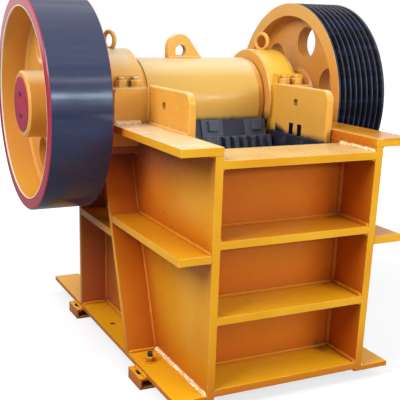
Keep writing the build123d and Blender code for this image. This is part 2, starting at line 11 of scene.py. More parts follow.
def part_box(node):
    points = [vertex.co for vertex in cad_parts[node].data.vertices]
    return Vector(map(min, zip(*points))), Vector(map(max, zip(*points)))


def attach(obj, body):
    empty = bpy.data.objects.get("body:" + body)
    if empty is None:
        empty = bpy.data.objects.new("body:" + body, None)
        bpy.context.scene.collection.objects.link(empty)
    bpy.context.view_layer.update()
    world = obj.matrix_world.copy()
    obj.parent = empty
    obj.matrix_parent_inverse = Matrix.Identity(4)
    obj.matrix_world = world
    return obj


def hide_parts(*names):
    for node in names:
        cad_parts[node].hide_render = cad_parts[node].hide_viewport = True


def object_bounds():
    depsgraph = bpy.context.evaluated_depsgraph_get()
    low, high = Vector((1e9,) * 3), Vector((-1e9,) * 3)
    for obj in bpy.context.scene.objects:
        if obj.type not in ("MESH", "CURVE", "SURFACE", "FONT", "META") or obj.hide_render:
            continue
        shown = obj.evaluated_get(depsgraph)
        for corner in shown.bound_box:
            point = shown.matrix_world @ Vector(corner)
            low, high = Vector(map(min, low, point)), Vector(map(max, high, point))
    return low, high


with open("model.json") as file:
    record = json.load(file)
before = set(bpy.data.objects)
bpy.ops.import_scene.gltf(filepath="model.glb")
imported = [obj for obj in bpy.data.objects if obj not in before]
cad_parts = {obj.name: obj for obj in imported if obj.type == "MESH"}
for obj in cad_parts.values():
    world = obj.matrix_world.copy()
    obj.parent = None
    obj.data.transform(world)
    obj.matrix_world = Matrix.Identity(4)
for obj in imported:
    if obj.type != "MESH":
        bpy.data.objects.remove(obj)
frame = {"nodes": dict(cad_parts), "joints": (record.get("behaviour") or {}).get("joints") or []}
cad_low, cad_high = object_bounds()
nodes = frame["nodes"]
SIDES = ((-1, "left"), (1, "right"))

# Colours, as linear values
WHITE = (1.0, 1.0, 1.0)
ORANGE = (0.74, 0.332, 0.011)
ORANGE_DEEP = (0.64, 0.232, 0.007)
ORANGE_PALE = (0.80, 0.41, 0.026)
ORANGE_CHIP = (0.92, 0.74, 0.44)
# Painted shade: the darker, redder orange of recesses
ORANGE_SHADE = (0.50, 0.104, 0.007)
ORANGE_FADED = (0.79, 0.47, 0.135)
# Painted sheen on level tops, paler still at the left outer edge
ORANGE_SHEEN = (0.83, 0.57, 0.25)
ORANGE_BRIGHT_SHEEN = (0.86, 0.68, 0.42)
# Painted light on level tops
ORANGE_LIT_TOP = (0.86, 0.42, 0.010)
# Painted shade high on the barrel and painted light low on it
BARREL_TOP_SHADE = (0.60, 0.355, 0.075)
BARREL_UNDER_LIGHT = (0.95, 0.62, 0.17)
# Painted light on the right bearing cap
CAP_LIT_YELLOW = (0.82, 0.47, 0.030)
# Painted shade in tight corners; the scratches use this dark brown too
SCRATCH_AND_CORNER_SHADE = (0.150, 0.036, 0.012)
# Painted shade beside the flywheel
SIDE_SHADE = (0.26, 0.095, 0.065)
SMUDGE = (0.060, 0.050, 0.022)
# Painted glints on heavy weld beads
WELD_GLINT_WHITE = (0.95, 0.92, 0.80)
EDGE_CREAM = (0.86, 0.78, 0.68)
NAVY = (0.022, 0.028, 0.066)
NAVY_WORN = (0.030, 0.037, 0.082)
GROOVE_BLACK = (0.012, 0.012, 0.020)
RIM_RED = (0.40, 0.020, 0.046)
CAP_RED = (0.36, 0.030, 0.080)
BOLT_RED = (0.13, 0.006, 0.018)
JAW_BLACK = (0.014, 0.015, 0.030)
JAW_GRAY = (0.062, 0.066, 0.088)
STEEL = (0.46, 0.45, 0.44)
STEEL_DULL = (0.30, 0.29, 0.28)
DARK_STEEL = (0.09, 0.09, 0.10)
RUST = (0.20, 0.075, 0.030)
JAW_RUBBED = (0.27, 0.28, 0.32)
CLAMP_RUBBED = (0.20, 0.21, 0.24)
FLOOR_PALE = (0.36, 0.36, 0.36)
FLOOR_SPECK = (0.39, 0.39, 0.39)

# How far the paint above the frame has bleached, as shares
FADED = 0.55
GUARD_FADED = 0.42

# Floor glow: from and to distances in metres, then the strengths there
FLOOR_GLOW = (1.2, 4.0, 0.66, 1.0)

# Shared places, in metres; depths run back from the front edges of the side plates
AXIS = Vector(frame["joints"][0]["pos_m"])
FRONT_Y = cad_low[1]
X_INNER = 0.341
X_OUTER = 0.375
X_FLANGE = 0.513
BASE_TOP = 0.071
FLANGE_T = 0.032
SIDE_TOP = 1.021
TOP_FLANGE = 1.053
MID_FLANGE = 0.651
REAR_FLANGE = 0.583
RIB_TOP = 0.919
RIB_FOOT = 0.500
RIB_SLOPE = 0.356 / 0.950
RIB_T = 0.0267
REAR_RIB = 1.150
REAR_RIB_T = 0.025
RECESS = 0.206
REAR_WALL = 1.326
REAR_EDGE = 1.556
REAR_BAYS = ((0.080, 0.376), (0.406, 0.601))
REAR_TOP_FLANGE = (0.729, 1.319)
TOP_FLANGE_END = 0.721
SHELF_TOPS = (0.093, 0.3965, 0.700, 1.0035)
FOOT_DEPTHS = (0.344, 1.203)
FOOT_HALF = 0.063
FOOT_WELD_Z = 0.050
PEDESTAL_FRONT = 0.700
PEDESTAL_TIP = 0.498
PEDESTAL_TOP = 1.199
BARREL_R = 0.204
CLAMP_PITCH = 0.228
HUB_FACE = 0.821
CAP_LUG = 1.203
CAP_STUDS = ((0.3805, 0.758), (0.447, 0.758), (0.3805, 1.290), (0.447, 1.290))
ANCHOR = (0.455, 0.385)
GUARD_NOTCHES = (0.500, 0.567)

# Borders between paints, in metres: faces as X, rims as radii
SIDE_FACE = (0.372, 0.374)
GUARD_FACE = 0.3095
NOTCH_BACK = 0.3390
NOTCH_TOP = 1.10
NOTCH_REACH = 0.055
BEARING_FACE = 0.3235
FLYWHEEL_FACES = (0.5605, 0.8155)
RIM_INNER = 0.4185
RIM_OUTER = 0.4715
RIM_CORNER = (0.4160, 0.4215)
RIM_CORNER_X = 0.8150
PULLEY_FACES = (0.5565, 0.8195)
GROOVE_FLOOR = 0.4410

# Oily smudges on the front wall: height and reach
SMUDGE_X = 0.285
SMUDGES = ((0.105, 0.055), (0.408, 0.030), (0.712, 0.030))


def y_at(depth):
    """Y of a depth behind the front edges of the side plates."""
    return FRONT_Y + depth


# Materials

class Shader:
    """A node material, with short calls for the nodes that the finishes share."""

    def __init__(self, name):
        self.material = bpy.data.materials.new(name)
        self.material.use_nodes = True
        self.tree = self.material.node_tree
        self.bsdf = self.tree.nodes["Principled BSDF"]
        self.place = self.node("ShaderNodeTexCoord").outputs["Object"]

    def node(self, kind, **settings):
        made = self.tree.nodes.new(kind)
        for key, value in settings.items():
            setattr(made, key, value)
        return made

    def feed(self, socket, value):
        """Link an output to a socket, or set the socket to a constant."""
        if isinstance(value, bpy.types.NodeSocket):
            self.tree.links.new(value, socket)
        elif isinstance(value, tuple) and len(value) == 3 and socket.type == "RGBA":
            socket.default_value = (*value, 1.0)
        else:
            socket.default_value = value

    def math(self, operation, *values):
        made = self.node("ShaderNodeMath", operation=operation)
        for socket, value in zip(made.inputs, values):
            self.feed(socket, value)
        return made.outputs[0]

    def product(self, first, *others):
        for other in others:
            first = self.math("MULTIPLY", first, other)
        return first

    def rest(self, share):
        """What a share leaves of 1."""
        return self.math("SUBTRACT", 1.0, share)

    def between(self, value, low, high):
        """1 where a value lies between two limits, else 0."""
        return self.product(self.math("GREATER_THAN", value, low), self.math("LESS_THAN", value, high))

    def stretch(self, scale):
        """Object coordinates with their own scale along each axis."""
        made = self.node("ShaderNodeVectorMath", operation="MULTIPLY")
        self.feed(made.inputs[0], self.place)
        made.inputs[1].default_value = scale
        return made.outputs[0]

    def noise(self, scale, detail=4.0, roughness=0.55, vector=None, distortion=0.0):
        made = self.node("ShaderNodeTexNoise")
        self.feed(made.inputs["Vector"], vector or self.place)
        made.inputs["Scale"].default_value = scale
        made.inputs["Detail"].default_value = detail
        made.inputs["Roughness"].default_value = roughness
        made.inputs["Distortion"].default_value = distortion
        return made.outputs["Fac"]

    def ragged(self, value, reach, *grain):
        """A value made uneven by noise, for the ragged borders of overspray."""
        uneven = self.math("SUBTRACT", self.noise(*grain), 0.5)
        return self.math("ADD", value, self.product(uneven, reach))

    def range(self, value, low, high, to_low=0.0, to_high=1.0):
        made = self.node("ShaderNodeMapRange", interpolation_type="SMOOTHSTEP")
        self.feed(made.inputs["Value"], value)
        limits = {"From Min": low, "From Max": high, "To Min": to_low, "To Max": to_high}
        for name, number in limits.items():
            self.feed(made.inputs[name], number)
        return made.outputs["Result"]

    def mix(self, factor, first, second):
        made = self.node("ShaderNodeMix", data_type="RGBA")
        colours = [socket for socket in made.inputs if socket.type == "RGBA"]
        self.feed(made.inputs["Factor"], factor)
        self.feed(colours[0], first)
        self.feed(colours[1], second)
        return next(socket for socket in made.outputs if socket.type == "RGBA")

    def axes(self):
        made = self.node("ShaderNodeSeparateXYZ")
        self.feed(made.inputs[0], self.place)
        return made.outputs["X"], made.outputs["Y"], made.outputs["Z"]

    def facing_up(self):
        """1 on level tops, 0 on upright faces and undersides."""
        made = self.node("ShaderNodeSeparateXYZ")
        self.feed(made.inputs[0], self.node("ShaderNodeNewGeometry").outputs["Normal"])
        return self.range(made.outputs["Z"], 0.55, 0.95)

    def shaft_radius(self):
        """Distance from the shaft's axis."""
        _, y, z = self.axes()
        across = self.math("SUBTRACT", y, AXIS.y)
        up = self.math("SUBTRACT", z, AXIS.z)
        squares = self.math("ADD", self.product(across, across), self.product(up, up))
        return self.math("SQRT", squares)

    def corner_shade(self, distance):
        """0 in open places, 1 deep in corners."""
        made = self.node("ShaderNodeAmbientOcclusion", samples=6)
        made.inputs["Distance"].default_value = distance
        return self.rest(made.outputs["AO"])

    def worn_edge(self, radius):
        """0 on flats, rising to 1 along outer and inner edges."""
        rounded = self.node("ShaderNodeBevel", samples=4)
        rounded.inputs["Radius"].default_value = radius
        made = self.node("ShaderNodeVectorMath", operation="DOT_PRODUCT")
        self.feed(made.inputs[0], rounded.outputs["Normal"])
        self.feed(made.inputs[1], self.node("ShaderNodeNewGeometry").outputs["Normal"])
        return self.range(made.outputs["Value"], 0.80, 0.99, 1.0, 0.0)

    def bump(self, height, strength, distance):
        made = self.node("ShaderNodeBump")
        made.inputs["Strength"].default_value = strength
        made.inputs["Distance"].default_value = distance
        self.feed(made.inputs["Height"], height)
        self.feed(self.bsdf.inputs["Normal"], made.outputs["Normal"])

    def finish(self, colour, roughness, metallic=0.0, specular=0.5):
        self.feed(self.bsdf.inputs["Base Color"], colour)
        self.feed(self.bsdf.inputs["Roughness"], roughness)
        self.feed(self.bsdf.inputs["Metallic"], metallic)
        self.feed(self.bsdf.inputs["Specular IOR Level"], specular)
        return self.material


def enamel_colour(shader, faded=0.0, painted_shade=1.0, chips=0.50, corner_shade_and_smudge=0.70):
    """Orange enamel: cloudy tone, runs, painted recess and corner shade, painted light and sheen on level
    tops, chips, scratches, smudges.

    The arguments are shares of bleaching, of painted recess shade, of chips and of painted corner shade
    with oily smudges.
    """
    x, _, z = shader.axes()
    level = shader.facing_up()
    cloud = shader.noise(2.6, 3.0, 0.5)
    colour = shader.mix(shader.range(cloud, 0.32, 0.70), ORANGE_DEEP, ORANGE_PALE)
    colour = shader.mix(0.55, colour, ORANGE)
    runs = shader.noise(9.0, 3.0, 0.6, shader.stretch((1.0, 1.0, 0.16)))
    colour = shader.mix(shader.range(runs, 0.60, 0.78, 0.0, 0.30), colour, ORANGE_DEEP)
    # Painted sheen: high level tops turn paler and whiter, most at the left outer edge and faintly on the
    # right
    high = shader.range(z, 0.90, 1.00)
    patchy = shader.range(cloud, 0.25, 0.75, 0.75, 1.0)
    leftward = shader.range(x, 0.32, 0.38, 1.0, 0.12)
    pale = shader.product(level, high, shader.product(patchy, leftward))
    # Painted light: level tops are brightened, most strongly on the low ones
    top_light = shader.product(level, shader.range(z, 0.30, 0.85, 0.85, 0.25))
    colour = shader.mix(faded, colour, ORANGE_FADED)
    colour = shader.mix(top_light, colour, ORANGE_LIT_TOP)
    sheen_tone = shader.mix(shader.range(x, -0.375, -0.345, 1.0, 0.0), ORANGE_SHEEN, ORANGE_BRIGHT_SHEEN)
    colour = shader.mix(pale, colour, sheen_tone)
    # Painted shade: places that ambient occlusion finds enclosed turn darker and redder, except open level
    # tops
    recess_shade = shader.range(shader.corner_shade(0.42), 0.05, 0.50)
    lit_low = shader.range(z, 0.35, 0.72, 0.90, 0.50)
    lit_high = shader.range(z, 1.00, 1.04, 0.0, 0.90)
    open_top = shader.product(level, shader.math("MAXIMUM", lit_low, lit_high))
    recess_shade = shader.product(recess_shade, painted_shade, shader.rest(open_top))
    colour = shader.mix(recess_shade, colour, ORANGE_SHADE)
    # Painted shade: tight corners found by ambient occlusion turn dark brown; oily smudges gather there as
    # well
    corner = shader.corner_shade(0.10)
    colour = shader.mix(shader.range(corner, 0.30, 0.90, 0.0, corner_shade_and_smudge), colour, SCRATCH_AND_CORNER_SHADE)
    specks = shader.range(shader.noise(11.0, 5.0, 0.7), 0.52, 0.70)
    oily = shader.product(shader.range(corner, 0.42, 0.80), specks)
    colour = shader.mix(shader.product(oily, 0.8 * corner_shade_and_smudge), colour, SMUDGE)
    flakes = shader.range(shader.noise(38.0, 4.0, 0.65), 0.50, 0.60)
    chipped = shader.product(shader.worn_edge(0.006), flakes)
    colour = shader.mix(shader.product(chipped, chips), colour, ORANGE_CHIP)
    scratch = shader.noise(55.0, 2.0, 0.5, shader.stretch((0.35, 0.22, 1.0)), 0.8)
    patch = shader.range(shader.noise(4.3, 2.0), 0.60, 0.72)
    from_line = shader.math("ABSOLUTE", shader.math("SUBTRACT", scratch, 0.5))
    thin = shader.range(from_line, 0.0, 0.004, 1.0, 0.0)
    return shader.mix(shader.product(thin, patch, 0.30), colour, SCRATCH_AND_CORNER_SHADE)


def enamel_finish(shader, colour, smooth=0.16, rough=0.30, specular=0.25):
    """Gloss, orange peel and slow waves of brushed and sprayed enamel."""
    peel = shader.noise(320.0, 2.0, 0.5)
    wave = shader.noise(14.0, 3.0, 0.5)
    height = shader.math("ADD", shader.product(peel, 0.12), wave)
    shader.bump(height, 0.05, 0.004)
    roughness = shader.range(shader.noise(7.0, 4.0, 0.6), 0.3, 0.7, smooth, rough)
    return shader.finish(colour, roughness, specular=specular)


def frame_paint():
    """Enamel with painted flywheel shade on the outer side plates, painted shade on the right top flange,
    and smudges in the right corners of the front bays.
    """
    shader = Shader("frame_paint")
    x, y, z = shader.axes()
    # Painted shade: the outer faces of the side plates turn purple-brown beside the flywheel under the top
    # flange, and further back towards the rear rib
    outside = shader.range(shader.math("ABSOLUTE", x), *SIDE_FACE)
    beside = shader.range(y, y_at(0.02), y_at(0.45), 0.25, 0.85)
    beside = shader.product(shader.range(z, 0.76, 1.02), beside)
    behind = shader.range(y, y_at(0.75), y_at(1.05), 0.0, 0.38)
    behind = shader.product(behind, shader.range(y, y_at(1.16), y_at(1.22), 1.0, 0.0))
    upright = shader.rest(shader.facing_up())
    under_flange = shader.range(z, 1.019, 1.022, 1.0, 0.0)
    wheel_shade = shader.product(outside, upright, under_flange)
    wheel_shade = shader.product(wheel_shade, shader.math("MAXIMUM", beside, behind))
    colour = shader.mix(wheel_shade, enamel_colour(shader), SIDE_SHADE)
    # Painted shade: the level top of the right flange is darkened with the deeper orange
    right_top_shade = shader.product(shader.range(x, *SIDE_FACE), shader.range(z, 1.040, 1.050))
    colour = shader.mix(shader.product(right_top_shade, 0.8), colour, ORANGE_DEEP)
    for height, reach in SMUDGES:
        near = shader.node("ShaderNodeVectorMath", operation="DISTANCE")
        shader.feed(near.inputs[0], shader.place)
        near.inputs[1].default_value = (SMUDGE_X, y_at(RECESS - 0.02), height)
        uneven = shader.product(shader.noise(30.0, 4.0, 0.65), reach)
        away = shader.math("ADD", near.outputs["Value"], uneven)
        spot = shader.range(away, 0.55 * reach, 1.35 * reach, 0.75, 0.0)
        colour = shader.mix(spot, colour, SMUDGE)
    return enamel_finish(shader, colour, specular=0.14)


def upper_paint():
    """Bleached enamel of the parts above the frame."""
    shader = Shader("upper_paint")
    return enamel_finish(shader, enamel_colour(shader, FADED, 0.25))


def lip_paint():
    """Enamel in the narrow gap beside the bearings, with less painted recess shade, without painted corner
    shade and without chips.
    """
    shader = Shader("lip_paint")
    return enamel_finish(shader, enamel_colour(shader, FADED, 0.6, chips=0.0, corner_shade_and_smudge=0.0))


def weld_paint(name, faded, painted_shade):
    """Enamel over weld beads, with painted glints: pale specks on the ripples."""
    shader = Shader(name)
    painted_glint = shader.range(shader.noise(160.0, 3.0, 0.6), 0.60, 0.70)
    enamel = enamel_colour(shader, faded, painted_shade, chips=0.0)
    colour = shader.mix(shader.product(painted_glint, 0.35), enamel, ORANGE_PALE)
    shader.bump(shader.noise(210.0, 3.0, 0.6), 0.30, 0.003)
    return shader.finish(colour, shader.range(painted_glint, 0.0, 1.0, 0.48, 0.30), specular=0.15)


def bright_weld_paint():
    """Heavy weld beads in pale orange with painted glints of near-white specks."""
    shader = Shader("bright_weld_paint")
    # Painted highlight: near-white specks stand in for glints on the bead
    painted_glint = shader.range(shader.noise(120.0, 4.0, 0.7), 0.46, 0.58)
    colour = shader.mix(painted_glint, ORANGE_PALE, WELD_GLINT_WHITE)
    shader.bump(shader.noise(150.0, 3.0, 0.6), 0.5, 0.004)
    return shader.finish(colour, shader.range(painted_glint, 0.0, 1.0, 0.34, 0.16), specular=0.7)


def guard_paint():
    """Enamel with black overspray along the foot of the inner faces, and black painted shade on the walls
    of the right guard's notches.
    """
    shader = Shader("guard_paint")
    x, y, z = shader.axes()
    rise = shader.product(shader.math("MAXIMUM", shader.math("ADD", y, 0.22), 0.0), 0.25)
    height = shader.math("SUBTRACT", z, rise)
    sprayed = shader.range(shader.ragged(height, 0.030, 26.0, 5.0, 0.65), 0.990, 1.022, 1.0, 0.0)
    inside = shader.math("LESS_THAN", shader.math("ABSOLUTE", x), GUARD_FACE)
    # Painted shade: the walls inside the right guard's notches are painted black
    deep = shader.between(x, GUARD_FACE, NOTCH_BACK)
    notches_y = y_at(sum(GUARD_NOTCHES) / 2)
    in_notch = shader.math("COMPARE", y, notches_y, NOTCH_REACH)
    in_notch = shader.product(shader.math("LESS_THAN", z, NOTCH_TOP), in_notch)
    black = shader.math("MAXIMUM", shader.product(sprayed, inside), shader.product(deep, in_notch))
    colour = enamel_colour(shader, GUARD_FADED, 0.20)
    return enamel_finish(shader, shader.mix(black, colour, JAW_BLACK))


def bearing_paint():
    """Enamel with painted light that turns the right cap yellower, and black overspray low on the faces
    towards the chamber.
    """
    shader = Shader("bearing_paint")
    x, y, z = shader.axes()
    low = shader.range(shader.ragged(z, 0.05, 24.0, 5.0, 0.65), 1.030, 1.085, 1.0, 0.0)
    inside = shader.math("LESS_THAN", shader.math("ABSOLUTE", x), BEARING_FACE)
    ahead = shader.math("LESS_THAN", y, AXIS.y)
    black = shader.product(low, inside, ahead)
    colour = enamel_colour(shader, FADED, 0.3, corner_shade_and_smudge=0.2)
    # Painted light: the right cap is tinted a brighter yellow
    colour = shader.mix(shader.range(x, 0.322, 0.345, 0.0, 0.6), colour, CAP_LIT_YELLOW)
    return enamel_finish(shader, shader.mix(black, colour, JAW_BLACK), 0.10, 0.20)


def barrel_paint():
    """Enamel with painted shade high on the barrel, painted light low on it, painted sheen on its top, and
    the black of the jaw plates sprayed over its lower front.
    """
    shader = Shader("barrel_paint")
    _, y, z = shader.axes()
    low = shader.range(shader.ragged(z, 0.018, 25.0, 4.0, 0.6), 1.032, 1.062, 1.0, 0.0)
    front = shader.math("LESS_THAN", y, AXIS.y - 0.10)
    black = shader.product(low, front)
    colour = enamel_colour(shader, FADED, 0.2, corner_shade_and_smudge=0.2)
    # Painted shade towards the top of the barrel, then painted light low down
    colour = shader.mix(shader.range(z, 1.04, 1.24, 0.0, 0.80), colour, BARREL_TOP_SHADE)
    colour = shader.mix(shader.range(z, 0.98, 1.12, 0.7, 0.0), colour, BARREL_UNDER_LIGHT)
    # Painted sheen on the barrel's top
    colour = shader.mix(shader.product(shader.facing_up(), 0.6), colour, ORANGE_BRIGHT_SHEEN)
    return enamel_finish(shader, shader.mix(black, colour, JAW_BLACK))


def wheel_streaks(shader):
    """Streaks across a rim, as a share."""
    streak = shader.noise(30.0, 4.0, 0.6, shader.stretch((0.08, 1.0, 1.0)))
    return shader.range(streak, 0.45, 0.75)


def flywheel_paint():
    """Orange web and hub, red rim faces with a pale inner corner, and a navy rim."""
    shader = Shader("flywheel_paint")
    x, _, _ = shader.axes()
    far = shader.math("ABSOLUTE", x)
    radius = shader.shaft_radius()
    ends = shader.rest(shader.between(far, *FLYWHEEL_FACES))
    red = shader.product(shader.math("GREATER_THAN", radius, RIM_INNER), ends)
    colour = shader.mix(red, enamel_colour(shader, FADED, 0.4), RIM_RED)
    corner = shader.between(radius, *RIM_CORNER)
    corner = shader.product(corner, shader.math("GREATER_THAN", far, RIM_CORNER_X))
    colour = shader.mix(corner, colour, EDGE_CREAM)
    outside = shader.math("GREATER_THAN", radius, RIM_OUTER)
    navy = shader.mix(wheel_streaks(shader), NAVY, NAVY_WORN)
    return enamel_finish(shader, shader.mix(outside, colour, navy), 0.13, 0.20, 0.34)


def pulley_paint():
    """Orange web, hub and rim faces, and black grooves."""
    shader = Shader("pulley_paint")
    x, _, _ = shader.axes()
    far = shader.math("ABSOLUTE", x)
    outside = shader.math("GREATER_THAN", shader.shaft_radius(), GROOVE_FLOOR)
    dark = shader.product(outside, shader.between(far, *PULLEY_FACES))
    black = shader.mix(wheel_streaks(shader), GROOVE_BLACK, NAVY_WORN)
    colour = enamel_colour(shader, FADED, 0.4)
    return enamel_finish(shader, shader.mix(dark, colour, black), 0.22, 0.34, 0.40)


def cap_red():
    """Dull red of the hub caps, cloudy."""
    shader = Shader("cap_red")
    tone = shader.range(shader.noise(12.0, 4.0), 0.3, 0.7)
    return enamel_finish(shader, shader.mix(tone, CAP_RED, RIM_RED), 0.25, 0.40)


def bolt_red():
    """Bolt heads in glossy red, rubbed on their corners."""
    shader = Shader("bolt_red")
    rubbed = shader.product(shader.worn_edge(0.002), shader.range(shader.noise(90.0), 0.35, 0.55))
    colour = shader.mix(rubbed, BOLT_RED, CAP_RED)
    return enamel_finish(shader, colour, 0.12, 0.20, 0.8)


def jaw_steel(name, tint):
    """Black painted manganese steel with gray dust and rubbed edges."""
    shader = Shader(name)
    dust = shader.range(shader.noise(16.0, 5.0, 0.65), 0.48, 0.76, 0.0, 0.8)
    colour = shader.mix(dust, JAW_BLACK, tint)
    rubbed = shader.product(shader.worn_edge(0.005), shader.range(shader.noise(45.0, 4.0), 0.32, 0.52))
    colour = shader.mix(shader.product(rubbed, 0.8), colour, JAW_RUBBED)
    shader.bump(shader.noise(140.0, 4.0, 0.6), 0.35, 0.003)
    roughness = shader.range(shader.noise(30.0, 3.0), 0.3, 0.7, 0.36, 0.58)
    return shader.finish(colour, roughness, specular=0.35)


def clamp_steel():
    """The wedge bar: black between the clamp plates, gray on them."""
    shader = Shader("clamp_steel")
    x, _, _ = shader.axes()
    wrapped = shader.math("PINGPONG", shader.math("ADD", x, 10 * CLAMP_PITCH), CLAMP_PITCH / 2)
    on_clamp = shader.range(wrapped, 0.0545, 0.0560, 1.0, 0.0)
    worn = shader.range(shader.noise(24.0, 5.0, 0.65), 0.30, 0.70, 0.55, 1.0)
    colour = shader.mix(shader.product(on_clamp, worn), JAW_BLACK, JAW_GRAY)
    rubbed = shader.product(shader.worn_edge(0.004), shader.range(shader.noise(45.0, 4.0), 0.40, 0.60))
    colour = shader.mix(shader.product(rubbed, 0.7), colour, CLAMP_RUBBED)
    shader.bump(shader.noise(140.0, 4.0, 0.6), 0.35, 0.003)
    roughness = shader.range(shader.noise(30.0), 0.3, 0.7, 0.36, 0.55)
    return shader.finish(colour, roughness, specular=0.35)


def bare_steel(name, light, dark, rough):
    """Machined or rolled steel with turning marks and a little rust."""
    shader = Shader(name)
    marks = shader.noise(60.0, 4.0, 0.6, shader.stretch((6.0, 1.0, 1.0)))
    rusty = shader.range(shader.noise(18.0, 5.0, 0.65), 0.56, 0.72, 0.0, 0.75)
    colour = shader.mix(rusty, shader.mix(marks, light, dark), RUST)
    shader.bump(marks, 0.15, 0.002)
    metallic = shader.range(rusty, 0.0, 0.75, 0.9, 0.1)
    return shader.finish(colour, shader.range(marks, 0.3, 0.7, rough, rough + 0.18), metallic)


def floor_paint():
    """Pale floor that meets the white background and keeps the shadow."""
    shader = Shader("floor_pale")
    path = shader.node("ShaderNodeLightPath").outputs
    speck = shader.range(shader.noise(3.0, 4.0), 0.3, 0.7)
    pale = shader.mix(speck, FLOOR_PALE, FLOOR_SPECK)
    material = shader.finish(pale, 0.9, specular=0.1)
    seen = shader.math("MAXIMUM", path["Is Camera Ray"], path["Is Transmission Ray"])
    away = shader.node("ShaderNodeVectorMath", operation="LENGTH")
    shader.feed(away.inputs[0], shader.place)
    glow = shader.range(away.outputs["Value"], *FLOOR_GLOW)
    shader.feed(shader.bsdf.inputs["Emission Color"], WHITE)
    shader.feed(shader.bsdf.inputs["Emission Strength"], shader.product(seen, glow))
    return material


PAINT = frame_paint()
UPPER = upper_paint()
LIP = lip_paint()
WELD = weld_paint("weld_paint", 0.0, 1.0)
UPPER_WELD = weld_paint("upper_weld_paint", FADED, 0.2)
BRIGHT_WELD = bright_weld_paint()
GUARD = guard_paint()
BEARING = bearing_paint()
BARREL = barrel_paint()
FLYWHEEL = flywheel_paint()
PULLEY = pulley_paint()
RED = cap_red()
BOLT = bolt_red()
JAW = jaw_steel("jaw_steel", JAW_GRAY)
CLAMP = clamp_steel()
SHAFT = bare_steel("shaft_steel", STEEL, STEEL_DULL, 0.28)
ROD = bare_steel("bare_steel", STEEL_DULL, DARK_STEEL, 0.40)
CAST = jaw_steel("dark_steel", DARK_STEEL)

NODE_MATERIALS = {
    "flywheel": FLYWHEEL,
    "pulley": PULLEY,
    "hub_caps": RED,
    "main_shaft": SHAFT,
    "tension_rod": ROD,
    "tension_spring": ROD,
    "toggle_plate": CAST,
    "toggle_block": CAST,
    "fixed_jaw": JAW,
    "moving_jaw": JAW,
    "jaw_wedge": CLAMP,
    "cheek_plate_left": JAW,
    "cheek_plate_right": JAW,
    "guard_plate_left": GUARD,
    "guard_plate_right": GUARD,
    "bearing_cap_left": BEARING,
    "bearing_cap_right": BEARING,
    "bearing_housing_left": BEARING,
    "bearing_housing_right": BEARING,
    "swing_jaw_body": BARREL,
    "barrel_rings": UPPER,
    "barrel_eye": UPPER,
    "bearing_eyes": UPPER,
    "pedestal_plates_left": UPPER,
    "pedestal_plates_right": UPPER,
}

# CAD nodes: materials and softened edges
EDGE_WIDTH = 0.0022
FINE_EDGE_WIDTH = 0.0012
TRIM_EDGE_WIDTH = 0.0008
FINE_EDGED = {"flywheel", "pulley", "tension_spring", "bearing_eyes", "moving_jaw", "fixed_jaw"}


def round_edges(thing, width, degrees):
    """Small rounded edges wherever faces meet at more than an angle."""
    bevel = thing.modifiers.new("edge", "BEVEL")
    bevel.width = width
    bevel.segments = 2
    bevel.limit_method = "ANGLE"
    bevel.angle_limit = math.radians(degrees)
    normals = thing.modifiers.new("normals", "WEIGHTED_NORMAL")
    normals.keep_sharp = False


def soften(thing, width):
    """Join the flats of a CAD node and round its edges."""
    weld = thing.modifiers.new("join", "WELD")
    weld.merge_threshold = 0.00002
    merge = thing.modifiers.new("flats", "DECIMATE")
    merge.decimate_type = "DISSOLVE"
    merge.angle_limit = math.radians(0.2)
    round_edges(thing, width, 40)


for name, thing in nodes.items():
    thing.data.materials.clear()
    thing.data.materials.append(NODE_MATERIALS.get(name, PAINT))
    soften(thing, FINE_EDGE_WIDTH if name in FINE_EDGED else EDGE_WIDTH)


# Pieces that only the scene adds

def add_piece(name, shape, body, material):
    """Turn a bmesh into an object that rides on a body."""
    bmesh.ops.recalc_face_normals(shape, faces=shape.faces)
    mesh = bpy.data.meshes.new(name)
    shape.to_mesh(mesh)
    shape.free()
    for face in mesh.polygons:
        face.use_smooth = True
    mesh.materials.append(material)
    thing = bpy.data.objects.new(name, mesh)
    bpy.context.scene.collection.objects.link(thing)
    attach(thing, body)
    return thing


def edge_soft(thing):
    """Sharp flats with fine rounded edges, for fasteners and trim."""
    round_edges(thing, TRIM_EDGE_WIDTH, 28)


def skin(shape, loops):
    """Faces between each loop of vertices and the next."""
    count = len(loops[0])
    for first, second in zip(loops, loops[1:]):
        for i in range(count):
            j = (i + 1) % count
            shape.faces.new((first[i], first[j], second[j], second[i]))


def close_rings(shape, rings):
    """Skin equal rings of points into a closed body."""
    loops = [[shape.verts.new(point) for point in ring] for ring in rings]
    skin(shape, loops)
    shape.faces.new(loops[0][::-1])
    shape.faces.new(loops[-1])


# Weld beads
WELD_LEG = 0.011
BAY_LEG = 0.014
UPPER_LEG = 0.008
WELD_END = 0.004
WELD_STEP = 0.005
WELD_PITCH = 0.016
WELD_SINK = 0.0015
WELD_PROFILE = ((1.0, 0.0), (0.74, 0.36), (0.36, 0.74), (0.0, 1.0))


def weld_bead(shape, start, end, first, second, leg=WELD_LEG):
    """A rippled fillet in a corner: first and second point out of the corner along its two faces."""
    start, end, first, second = Vector(start), Vector(end), Vector(first), Vector(second)
    run = end - start
    steps = max(3, round(run.length / WELD_STEP))
    rings = []
    for step in range(steps + 1):
        here = start + run * (step / steps)
        ripple = 0.08 * math.sin(2 * math.pi * step * run.length / steps / WELD_PITCH)
        uneven = 0.22 * noise.noise(here * 31.0)
        size = leg * (1.0 + ripple + uneven)
        taper = min(1.0, 0.55 + 0.45 * min(step, steps - step) / 2)
        ring = [here - (first + second) * WELD_SINK]
        for along, up in WELD_PROFILE:
            sunk = first * (WELD_SINK if along == 0.0 else 0.0)
            sunk += second * (WELD_SINK if up == 0.0 else 0.0)
            ring.append(here + (first * along + second * up) * size * taper - sunk)
        rings.append(ring)
    close_rings(shape, rings)


